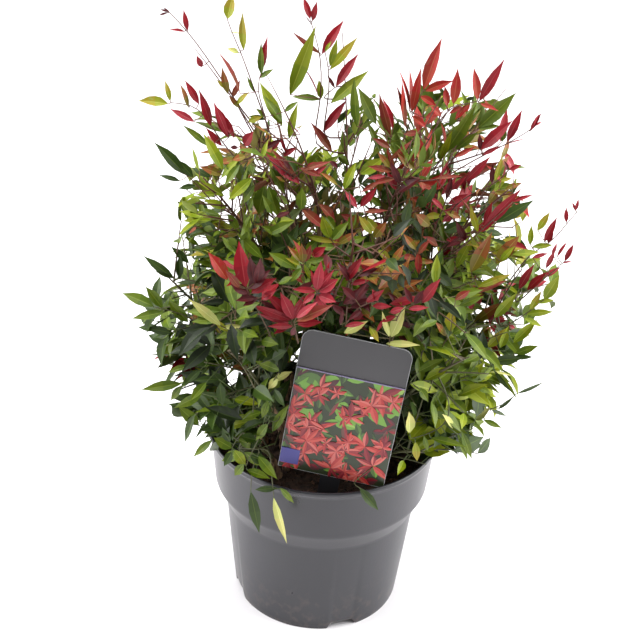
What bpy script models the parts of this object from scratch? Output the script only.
"""A young heavenly bamboo shrub in its nursery pot.

Thin canes rise from the potting soil and fan out. Each ends in one mass of foliage: a stem
that carries leaf stalks, which carry pointed leaflets in opposite pairs. The masses stand in
five tiers and each keeps to its own share of the crown. Metres, +Z up, the pot's underside at
Z = 0 and its axis on Z. The front, with the plant's label, faces -Y.
"""

import math
import random

import bmesh
import bpy
from mathutils import Matrix, Vector
from mathutils.bvhtree import BVHTree

MM = 0.001
CLEAR = 0.3 * MM
GOLDEN_ANGLE = math.radians(137.5)
UP = Vector((0, 0, 1))

# Pot, with outer radii from the foot up to the rim
POT_HEIGHT = 153 * MM
FOOT_RADIUS = 66 * MM
WAIST_RADIUS = 75.5 * MM
WAIST_HEIGHT = 89.5 * MM
COLLAR_FOOT_RADIUS = 84 * MM
COLLAR_FOOT_HEIGHT = 106.5 * MM
RIM_RADIUS = 90.5 * MM
POT_WALL = 2 * MM
POT_FLOOR = 9 * MM
POT_SIDES = 36
NOTCH_COUNT = 4
NOTCH_FIRST_ANGLE = math.radians(-70)
NOTCH_WIDTH = 25 * MM
NOTCH_HEIGHT = 6 * MM
NOTCH_DEPTH = 10 * MM
NOTCH_SLOPE = 4 * MM

# Potting soil
SOIL_BELOW_RIM = 19 * MM
SOIL_TOP = POT_HEIGHT - SOIL_BELOW_RIM
SOIL_EDGE = 6 * MM

# Plant label, stuck in the soil at the front
LABEL_WIDTH = 80 * MM
LABEL_HEIGHT = 116 * MM
LABEL_THICKNESS = 1 * MM
LABEL_CORNER = 8 * MM
LABEL_STAKE_WIDTH = 15 * MM
LABEL_FOOT = Vector((6.4 * MM, -70 * MM, 153.8 * MM))
LABEL_TURN = math.radians(6.7)
LABEL_LEAN = math.radians(5)
LABEL_YAW = math.radians(-6.5)
LABEL_CLEAR = 2.5 * MM
LABEL_VIEW_DEPTH = 90 * MM

# Crown outline: an egg whose widest level lies at CROWN_MIDDLE, leaning to the right
CROWN_MIDDLE = 300 * MM
CROWN_BOTTOM = 92 * MM
CROWN_TOP = 508 * MM
CROWN_RADIUS = 161 * MM
CROWN_SQUARENESS_BELOW = 2.3
CROWN_SQUARENESS_ABOVE = 2.0
CROWN_LEAN = 12 * MM

# Canes
CANE_FLARE_RADIUS = 3.4 * MM
CANE_FOOT_RADIUS = 2.5 * MM
CANE_TIP_RADIUS = 1.8 * MM
CANE_FLARE_SHARE = 0.1
CANE_BOW = 0.04
CANE_SIDES = 5
CANE_RINGS = 4

# Foliage
STEM_RADIUS = 1.8 * MM
STEM_TIP_RADIUS = 1.0 * MM
STALK_RADII = (1.15 * MM, 0.9 * MM, 0.65 * MM)
TWIG_SIDES = 3
LEAFLET_LENGTH = 43 * MM
LEAFLET_WIDTH = 15 * MM
LEAFLET_THICKNESS = 1.3 * MM
LEAFLET_WIDEST = 0.42
LEAFLET_SPREAD = math.radians(50)
LEAFLET_DROOP = 0.18
LEAFLET_PLACES = (0.36, 0.58, 0.8)
LEAFLET_PROBE_START = 0.3
LEAF_NEAR = 130 * MM
MASS_MARGIN = 1.2 * MM
LIMB_MARGIN = 1.5 * MM
POT_MARGIN = 4 * MM

# Tiers of foliage masses, in degrees and mm: where each mass stands around the crown, the radius
# at which its cane leaves the soil, the radius and height at which the cane ends and the mass's
# own stem ends, and the leaf stalks' number, length, spread and sag
TIERS = {
    "skirt": dict(
        angles=(-50, 6, 62, 118, 174, 236), foot=57, tip=67, tip_height=158, end=110, end_height=190,
        stalks=7, stalk=66, spread=1.15, sag=0.5,
    ),
    "middle": dict(
        angles=(-50, -4, 44, 90, 136, 184, 235), foot=46, tip=70, tip_height=208, end=130, end_height=284,
        stalks=7, stalk=68, spread=1.0, sag=0.3,
    ),
    "front": dict(
        angles=(-120, -64), foot=36, tip=48, tip_height=258, end=94, end_height=318,
        stalks=7, stalk=60, spread=1.0, sag=0.4,
    ),
    "upper": dict(
        angles=(-92, -18, 54, 126, 198), foot=33, tip=52, tip_height=280, end=110, end_height=376,
        stalks=6, stalk=66, spread=0.9, sag=0.1,
    ),
    "top": dict(
        angles=(172, -140, 108, -38, 15), foot=19, tip=32, tip_height=336, end=84, end_height=456,
        stalks=5, stalk=58, spread=0.7, sag=-0.1,
    ),
}
TOP_REACH = (1.4, 0.96, 0.5, 0.8, 1.28)
TOP_RISE = (-8, 4, 2, -8, -30)
SEED = 11

# What a stalk tries in turn to find room: a share of its length and a turn around its stem. What a
# leaflet tries: a share of its size, a bend to the side and a lift
STALK_TRIES = (
    (1, 0), (0.8, 0), (1, 0.7), (1, -0.7), (0.8, 1.4), (0.8, -1.4), (0.6, 0), (0.6, 2.1), (0.45, 0),
)
LEAFLET_TRIES = (
    (1, 0, 0), (1, 0.3, 0.2), (1, -0.3, 0.2), (0.9, 0, 0.5), (0.9, 0, -0.4), (0.75, 0.3, 0), (0.65, 0, 0.2),
)


def material(name, colour, roughness):
    """A plain Principled finish."""
    made = bpy.data.materials.new(name)
    made.use_nodes = True
    shader = made.node_tree.nodes["Principled BSDF"]
    shader.inputs["Base Color"].default_value = (*colour, 1)
    shader.inputs["Roughness"].default_value = roughness
    shader.inputs["Metallic"].default_value = 0
    return made


def mesh_object(name, points, faces, finish=None):
    """A new object with its normals pointing outwards."""
    mesh = bpy.data.meshes.new(name)
    mesh.from_pydata([tuple(p) for p in points], [], faces)
    shape = bmesh.new()
    shape.from_mesh(mesh)
    bmesh.ops.recalc_face_normals(shape, faces=shape.faces)
    shape.to_mesh(mesh)
    shape.free()
    made = bpy.data.objects.new(name, mesh)
    bpy.context.scene.collection.objects.link(made)
    if finish:
        mesh.materials.append(finish)
    return made


def turned(name, profile, finish, sides=POT_SIDES):
    """A solid of revolution from (radius, height) pairs that start and end on the axis."""
    points = []
    rings = []
    for radius, height in profile:
        if radius == 0:
            rings.append([len(points)])
            points.append(Vector((0, 0, height)))
            continue
        rings.append(list(range(len(points), len(points) + sides)))
        for k in range(sides):
            angle = 2 * math.pi * k / sides
            points.append(Vector((radius * math.cos(angle), radius * math.sin(angle), height)))
    faces = []
    for low, high in zip(rings, rings[1:]):
        for k in range(sides):
            after = (k + 1) % sides
            face = [low[k % len(low)], low[after % len(low)], high[after % len(high)], high[k % len(high)]]
            faces.append(list(dict.fromkeys(face)))
    return mesh_object(name, points, faces, finish)


def square_to(direction):
    """Two unit vectors at right angles to a direction and to each other."""
    side = direction.cross(UP)
    if side.length < 1e-3:
        side = direction.cross(Vector((0, 1, 0)))
    side.normalize()
    return side, side.cross(direction).normalized()


def tube(name, path, radii, sides, finish=None, flat_foot=False):
    """A closed limb with flat ends that follows a path. With flat_foot its first ring is level."""
    points = []
    count = len(path)
    for k, (at, radius) in enumerate(zip(path, radii)):
        ahead = path[min(k + 1, count - 1)] - path[max(k - 1, 0)]
        side, other = square_to(ahead.normalized())
        if flat_foot and k == 0:
            other = side.cross(UP)
        for n in range(sides):
            angle = 2 * math.pi * n / sides
            points.append(at + radius * (math.cos(angle) * side + math.sin(angle) * other))
    faces = [list(range(sides)), list(range((count - 1) * sides, count * sides))]
    for k in range(count - 1):
        for n in range(sides):
            after = (n + 1) % sides
            a, b = k * sides + n, k * sides + after
            faces.append([a, b, b + sides, a + sides])
    return mesh_object(name, points, faces, finish)


def leaflet(name, root, direction, normal, size, start):
    """A pointed blade folded at its midrib, from a share of its length outside the stalk to its tip."""
    across = direction.cross(normal).normalized()
    face = across.cross(direction).normalized()
    length = LEAFLET_LENGTH * size
    middle = root + LEAFLET_WIDEST * length * direction
    tip = root + length * (direction - LEAFLET_DROOP * UP)
    half = across * LEAFLET_WIDTH * size / 2
    ring = [middle - half, middle + face * LEAFLET_THICKNESS, middle + half]
    faces = []
    for k in range(3):
        after = (k + 1) % 3
        faces.append([0, 2 + k, 2 + after])
        faces.append([1, 2 + after, 2 + k])
    return mesh_object(name, [root.lerp(middle, start), tip, *ring], faces)


def tree_of(made):
    """A search tree of an object's faces."""
    corners = [v.co for v in made.data.vertices]
    return BVHTree.FromPolygons(corners, [list(p.vertices) for p in made.data.polygons])


def remove(made):
    bpy.data.meshes.remove(made.data)


def apply_modifiers(made):
    """Gives the object the mesh that its modifiers make, and drops them."""
    bpy.context.view_layer.update()
    graph = bpy.context.evaluated_depsgraph_get()
    result = bpy.data.meshes.new_from_object(made.evaluated_get(graph))
    made.modifiers.clear()
    old, made.data = made.data, result
    result.name = made.name
    bpy.data.meshes.remove(old)


def fuse(made, pieces):
    """Joins pieces to an object with one Boolean union, then removes them."""
    group = bpy.data.collections.new(made.name + "_pieces")
    for piece in pieces:
        group.objects.link(piece)
    union = made.modifiers.new("fuse", "BOOLEAN")
    union.operation = "UNION"
    union.operand_type = "COLLECTION"
    union.collection = group
    union.solver = "MANIFOLD"
    apply_modifiers(made)
    for piece in pieces:
        remove(piece)
    bpy.data.collections.remove(group)


def keep_largest_shell(made):
    """Drops any scrap that a union leaves apart from the main body."""
    shape = bmesh.new()
    shape.from_mesh(made.data)
    left = set(shape.verts)
    shells = []
    while left:
        shell, edge_of = set(), [left.pop()]
        while edge_of:
            vertex = edge_of.pop()
            shell.add(vertex)
            near = {edge.other_vert(vertex) for edge in vertex.link_edges}
            edge_of.extend(near & left)
            left -= near
        shells.append(shell)
    shells.sort(key=len, reverse=True)
    for shell in shells[1:]:
        bmesh.ops.delete(shape, geom=list(shell), context="VERTS")
    shape.to_mesh(made.data)
    shape.free()
    return len(shells) - 1


def make_pot(finish):
    """A thin tapered shell with a wider collar, and drainage notches at its foot."""
    inner = [
        (RIM_RADIUS - POT_WALL, POT_HEIGHT),
        (COLLAR_FOOT_RADIUS - POT_WALL, COLLAR_FOOT_HEIGHT),
        (WAIST_RADIUS - POT_WALL, WAIST_HEIGHT),
        (FOOT_RADIUS - POT_WALL, POT_FLOOR),
        (0, POT_FLOOR),
    ]
    outer = [
        (0, 0),
        (FOOT_RADIUS, 0),
        (WAIST_RADIUS, WAIST_HEIGHT),
        (COLLAR_FOOT_RADIUS, COLLAR_FOOT_HEIGHT),
        (RIM_RADIUS, POT_HEIGHT),
    ]
    pot = turned("pot", outer + inner, finish)
    for k in range(NOTCH_COUNT):
        cutter = notch_cutter(f"notch_cutter_{k}", NOTCH_FIRST_ANGLE + 2 * math.pi * k / NOTCH_COUNT)
        cut = pot.modifiers.new(cutter.name, "BOOLEAN")
        cut.operation = "DIFFERENCE"
        cut.object = cutter
    return pot


def notch_cutter(name, angle):
    """A wedge with sloping ends, set across the pot's foot, that cuts one drainage notch."""
    low, high = NOTCH_WIDTH / 2 + NOTCH_SLOPE, NOTCH_WIDTH / 2 - NOTCH_SLOPE
    section = [(-low, -NOTCH_HEIGHT), (low, -NOTCH_HEIGHT), (high, NOTCH_HEIGHT), (-high, NOTCH_HEIGHT)]
    turn = Matrix.Rotation(angle, 3, "Z")
    points = []
    for out in (FOOT_RADIUS - NOTCH_DEPTH, FOOT_RADIUS + NOTCH_DEPTH):
        points += [turn @ Vector((out, along, height)) for along, height in section]
    faces = [[0, 1, 2, 3], [4, 5, 6, 7], *([k, (k + 1) % 4, (k + 1) % 4 + 4, k + 4] for k in range(4))]
    cutter = mesh_object(name, points, faces)
    cutter.hide_render = True
    cutter.display_type = "WIRE"
    return cutter


def make_soil(finish):
    """The soil fills the pot's inside, clear of the wall, with a level top and a soft edge."""
    gap = POT_WALL + CLEAR * 1.5
    collar_rise = (RIM_RADIUS - COLLAR_FOOT_RADIUS) / (POT_HEIGHT - COLLAR_FOOT_HEIGHT)

    def collar_radius(height):
        return COLLAR_FOOT_RADIUS + collar_rise * (height - COLLAR_FOOT_HEIGHT) - gap

    edge_height = SOIL_TOP - SOIL_EDGE
    profile = [
        (0, POT_FLOOR + CLEAR),
        (FOOT_RADIUS - gap - CLEAR, POT_FLOOR + CLEAR),
        (WAIST_RADIUS - gap, WAIST_HEIGHT),
        (COLLAR_FOOT_RADIUS - gap, COLLAR_FOOT_HEIGHT),
        (collar_radius(edge_height), edge_height),
        (collar_radius(edge_height) - SOIL_EDGE, SOIL_TOP),
        (0, SOIL_TOP),
    ]
    return turned("soil", profile, finish)


def label_axes():
    """The label's right, up and outward directions: turned a little clockwise and leaning back."""
    right = Vector((math.cos(LABEL_TURN), 0, -math.sin(LABEL_TURN)))
    back = Vector((0, math.sin(LABEL_LEAN), math.cos(LABEL_LEAN)))
    up = (back - back.dot(right) * right).normalized()
    yaw = Matrix.Rotation(LABEL_YAW, 3, "Z")
    return yaw @ right, yaw @ up, yaw @ right.cross(up).normalized()


def make_label(finish):
    """A plastic card with round top corners on a stake whose end is cut level on the soil."""
    right, up, out = label_axes()
    half, corner, stake = LABEL_WIDTH / 2, LABEL_CORNER, LABEL_STAKE_WIDTH / 2
    outline = [(-stake, 0), (-half, 0)]
    for centre, start in ((-half + corner, math.pi), (half - corner, math.pi / 2)):
        for k in range(4):
            angle = start - math.pi / 2 * k / 3
            outline.append((centre + corner * math.cos(angle), LABEL_HEIGHT - corner + corner * math.sin(angle)))
    outline += [(half, 0), (stake, 0)]

    def down_to_soil(along):
        """How far below the card's foot a point of the stake meets the soil."""
        level = SOIL_TOP + 2 * CLEAR
        return (level - LABEL_FOOT.z - along * right.z) / up.z

    outline += [(stake, down_to_soil(stake)), (-stake, down_to_soil(-stake))]
    points = []
    for side in (0, LABEL_THICKNESS):
        points += [LABEL_FOOT + x * right + y * up - side * out for x, y in outline]
    count = len(outline)
    faces = [list(range(count)), list(range(count, 2 * count))]
    faces += [[k, (k + 1) % count, (k + 1) % count + count, k + count] for k in range(count)]
    return mesh_object("label", points, faces, finish)


def before_label(point):
    """Whether a point touches the label or hides it from the front."""
    right, up, out = label_axes()
    offset = point - LABEL_FOOT
    x, y, z = offset.dot(right), offset.dot(up), offset.dot(out)
    beside = abs(x) > LABEL_WIDTH / 2 + LABEL_CLEAR
    over_or_under = y > LABEL_HEIGHT + LABEL_CLEAR or y < -SOIL_BELOW_RIM
    return not (beside or over_or_under or z < -LABEL_THICKNESS - LABEL_CLEAR or z > LABEL_VIEW_DEPTH)


def crown_radius(height):
    """The crown's outer radius at a height: a superellipse, longer above its middle than below."""
    if height <= CROWN_BOTTOM or height >= CROWN_TOP:
        return 0
    above = height > CROWN_MIDDLE
    end, squareness = (CROWN_TOP, CROWN_SQUARENESS_ABOVE) if above else (CROWN_BOTTOM, CROWN_SQUARENESS_BELOW)
    share = abs((height - CROWN_MIDDLE) / (end - CROWN_MIDDLE))
    return CROWN_RADIUS * (1 - share**squareness) ** (1 / squareness)


def crown_axis(height):
    """The middle of the crown at a height."""
    share = (height - POT_HEIGHT) / (CROWN_TOP - POT_HEIGHT)
    return Vector((CROWN_LEAN * max(0, min(1, 2 * share)), 0, height))


def in_crown(point):
    """Whether a point lies in the crown's outline and clear of the pot, the soil and the label."""
    if (point - crown_axis(point.z)).length > crown_radius(point.z) or before_label(point):
        return False
    from_pot_axis = math.hypot(point.x, point.y)
    wall_radius = RIM_RADIUS - POT_WALL / 2
    over_pot = point.z > POT_HEIGHT + POT_MARGIN
    outside = from_pot_axis > wall_radius + POT_WALL / 2 + POT_MARGIN
    inside = from_pot_axis < wall_radius - POT_WALL - POT_MARGIN and point.z > SOIL_TOP + POT_MARGIN
    return over_pot or outside or inside


class Mass:
    """One mass of foliage with the cane that carries it."""

    solids = []
    all_leaves = []

    def __init__(self, tier, number, rule):
        plan = TIERS[tier]
        self.name = f"{tier}_{number + 1}"
        self.plan = plan
        self.rule = rule
        angle = math.radians(plan["angles"][number] + rule.uniform(-3, 3))
        self.out = Vector((math.cos(angle), math.sin(angle), 0))
        reach = TOP_REACH[number] if tier == "top" else 1
        rise = TOP_RISE[number] if tier == "top" else rule.uniform(-5, 5)
        self.foot = self.out * plan["foot"] * MM + UP * (SOIL_TOP + CLEAR)
        self.tip = self.place(plan["tip"] * reach, plan["tip_height"] + rise)
        self.end = self.place(plan["end"] * reach, plan["end_height"] + rise)

    def place(self, radius, height):
        """A point at a radius and height in mm on this mass's side of the crown."""
        return crown_axis(height * MM) + self.out * radius * MM

    def distance(self, point):
        """How far a point is from the line between this mass's cane and its stem's end."""
        line = self.end - self.tip
        share = max(0, min(1, (point - self.tip).dot(line) / line.length_squared))
        return (point - self.tip - share * line).length

    def owns(self, point):
        """Whether a point lies in the crown and nearer to this mass's line than to any other's."""
        if not in_crown(point):
            return False
        limit = self.distance(point) + MASS_MARGIN
        return all(other.distance(point) > limit for other in self.neighbours)

    def cane_path(self):
        """The cane leaves the soil steeply and bows outwards to its tip."""
        path = []
        for k in range(CANE_RINGS):
            share = k / (CANE_RINGS - 1)
            bow = CANE_BOW * math.sin(math.pi * share) * (self.tip - self.foot).length
            path.append(self.foot.lerp(self.tip, share) - self.out * bow)
        path.insert(1, path[0].lerp(path[1], CANE_FLARE_SHARE * (CANE_RINGS - 1)))
        return path

    def cane(self, name, finish=None, extra=0.0):
        path = self.cane_path()
        radii = [CANE_FLARE_RADIUS + extra]
        for k in range(1, len(path)):
            share = (k - 1) / (len(path) - 2)
            radii.append(CANE_FOOT_RADIUS + (CANE_TIP_RADIUS - CANE_FOOT_RADIUS) * share + extra)
        return tube(name, path, radii, CANE_SIDES, finish, flat_foot=True)

    def stem_path(self):
        """The stem goes on from the cane's tip and bends to its own end."""
        cane = self.cane_path()
        way = (cane[-1] - cane[-2]).normalized()
        start = self.tip + CLEAR * way
        bend = start + way * 0.35 * (self.end - start).length
        path = []
        for k in range(4):
            share = k / 3
            path.append(start.lerp(bend, share).lerp(bend.lerp(self.end, share), share))
        return path

    def stem(self, name, finish=None, extra=0.0):
        path = self.stem_path()
        radii = [STEM_RADIUS + (STEM_TIP_RADIUS - STEM_RADIUS) * k / 3 + extra for k in range(4)]
        return tube(name, path, radii, TWIG_SIDES if not extra else CANE_SIDES, finish)

    def free(self, probe):
        """Whether a shape stays in this mass's space and clear of the pot, the limbs and the leaves."""
        if not all(self.owns(v.co) for v in probe.data.vertices):
            return False
        shape = tree_of(probe)
        at = probe.data.vertices[0].co
        if any(shape.overlap(limb) for limb in self.limbs + Mass.solids):
            return False
        return not any((at - place).length < LEAF_NEAR and shape.overlap(leaf) for place, leaf in Mass.all_leaves)

    def try_piece(self, piece, probe):
        """Keeps a piece if its probe, the piece without its root, is free. Removes it otherwise."""
        kept = self.free(probe)
        if kept:
            self.pieces.append(piece)
            Mass.all_leaves.append((probe.data.vertices[0].co.copy(), tree_of(probe)))
        else:
            remove(piece)
        remove(probe)
        return kept

    def grow(self, finish):
        """The whole mass as one solid."""
        self.pieces = []
        self.leaflets = 0
        path = self.stem_path()
        count = self.plan["stalks"]
        turn = self.rule.uniform(0, 2 * math.pi)
        for n in range(count):
            share = 0.16 + 0.8 * n / (count - 1)
            self.grow_stalk(path, share, turn + n * GOLDEN_ANGLE, n == count - 1)
        made = self.stem("leaves_" + self.name, finish)
        fuse(made, self.pieces)
        made.data.materials.clear()
        made.data.materials.append(finish)
        return made, keep_largest_shell(made)

    def grow_stalk(self, path, share, turn, last):
        """One leaf stalk that leaves the stem and sags, with pairs of leaflets and one at its end."""
        at, along = point_on(path, share)
        side, other = square_to(along)
        length = self.plan["stalk"] * MM * self.rule.uniform(0.85, 1.15)
        for shrink, more_turn in STALK_TRIES:
            angle = turn + more_turn
            sideways = math.cos(angle) * side + math.sin(angle) * other
            open_angle = self.plan["spread"] * self.rule.uniform(0.8, 1.1) * (0.3 if last else 1)
            way = (math.cos(open_angle) * along + math.sin(open_angle) * sideways + 0.3 * self.out).normalized()
            stalk_path = sagging(at, way, length * shrink, self.plan["sag"])
            piece = tube("stalk", stalk_path, STALK_RADII, TWIG_SIDES)
            probe = tube("probe", [at.lerp(stalk_path[1], 0.25), *stalk_path[1:]], STALK_RADII, TWIG_SIDES)
            if self.try_piece(piece, probe):
                break
        else:
            return
        for place in LEAFLET_PLACES:
            for hand in (-1, 1):
                self.grow_leaflet(stalk_path, place, hand)
        self.grow_leaflet(stalk_path, 0.95, 0)

    def grow_leaflet(self, path, share, hand):
        """One leaflet, on the left (-1), on the right (1) or at the end (0) of its stalk."""
        root, along = point_on(path, share)
        side = along.cross(UP).normalized()
        face = side.cross(along).normalized()
        spread = hand * LEAFLET_SPREAD * self.rule.uniform(0.8, 1.2)
        rise = self.rule.uniform(-0.15, 0.35)
        for shrink, bend, lift in LEAFLET_TRIES:
            angle = spread + bend
            way = (math.cos(angle) * along + math.sin(angle) * side + (rise + lift) * face).normalized()
            normal = (face + 0.5 * self.rule.uniform(-1, 1) * side).normalized()
            size = shrink * self.rule.uniform(0.88, 1.12)
            piece = leaflet("leaflet", root, way, normal, size, 0)
            probe = leaflet("probe", root, way, normal, size, LEAFLET_PROBE_START)
            if self.try_piece(piece, probe):
                self.leaflets += 1
                return


def sagging(start, way, length, sag):
    """Three points of a stalk that sets out one way and bends down by a share of its length."""
    path = [start]
    for k in range(2):
        way = (way - UP * sag * (0.25 + 0.35 * k)).normalized()
        path.append(path[-1] + way * length / 2)
    return path


def point_on(path, share):
    """The point at a share of a path's length, and the direction there."""
    lengths = [(b - a).length for a, b in zip(path, path[1:])]
    left = share * sum(lengths)
    for a, b, length in zip(path, path[1:], lengths):
        if left <= length or b is path[-1]:
            return a.lerp(b, left / length), (b - a).normalized()
        left -= length


def main():
    for old in list(bpy.data.objects):
        bpy.data.objects.remove(old)
    grey = material("pot_plastic", (0.055, 0.055, 0.062), 0.45)
    earth = material("soil", (0.02, 0.013, 0.009), 0.95)
    card = material("label_plastic", (0.09, 0.09, 0.1), 0.35)
    bark = material("cane_bark", (0.1, 0.06, 0.035), 0.7)
    finishes = {
        "skirt": material("leaf_dark_green", (0.035, 0.12, 0.02), 0.4),
        "middle": material("leaf_olive", (0.12, 0.17, 0.03), 0.4),
        "front": material("leaf_crimson", (0.36, 0.02, 0.04), 0.4),
        "upper": material("leaf_mid_green", (0.09, 0.24, 0.03), 0.4),
        "top": material("leaf_lime", (0.22, 0.32, 0.04), 0.4),
    }
    Mass.solids = [tree_of(made) for made in (make_pot(grey), make_soil(earth), make_label(card))]
    masses = []
    for t, (tier, plan) in enumerate(TIERS.items()):
        for number in range(len(plan["angles"])):
            masses.append((Mass(tier, number, random.Random(SEED + 100 * t + number)), finishes[tier]))
    for mass, _ in masses:
        mass.neighbours = [other for other, _ in masses if other is not mass]
    limbs = {}
    for mass, _ in masses:
        cane = mass.cane("cane_" + mass.name, bark)
        cane.modifiers.new("flat_faces", "TRIANGULATE")
        swollen = [mass.cane("swollen", extra=LIMB_MARGIN), mass.stem("swollen", extra=LIMB_MARGIN)]
        limbs[mass.name] = [tree_of(piece) for piece in swollen]
        for piece in swollen:
            remove(piece)
    total = 0
    for mass, finish in masses:
        mass.limbs = [limbs[mass.name][0]]
        for other in mass.neighbours:
            mass.limbs += limbs[other.name]
        made, scraps = mass.grow(finish)
        total += mass.leaflets
        print(f"{made.name}: {mass.leaflets} leaflets, {len(made.data.polygons)} faces, {scraps} scraps dropped")
    print(f"{total} leaflets in {len(masses)} masses")


main()
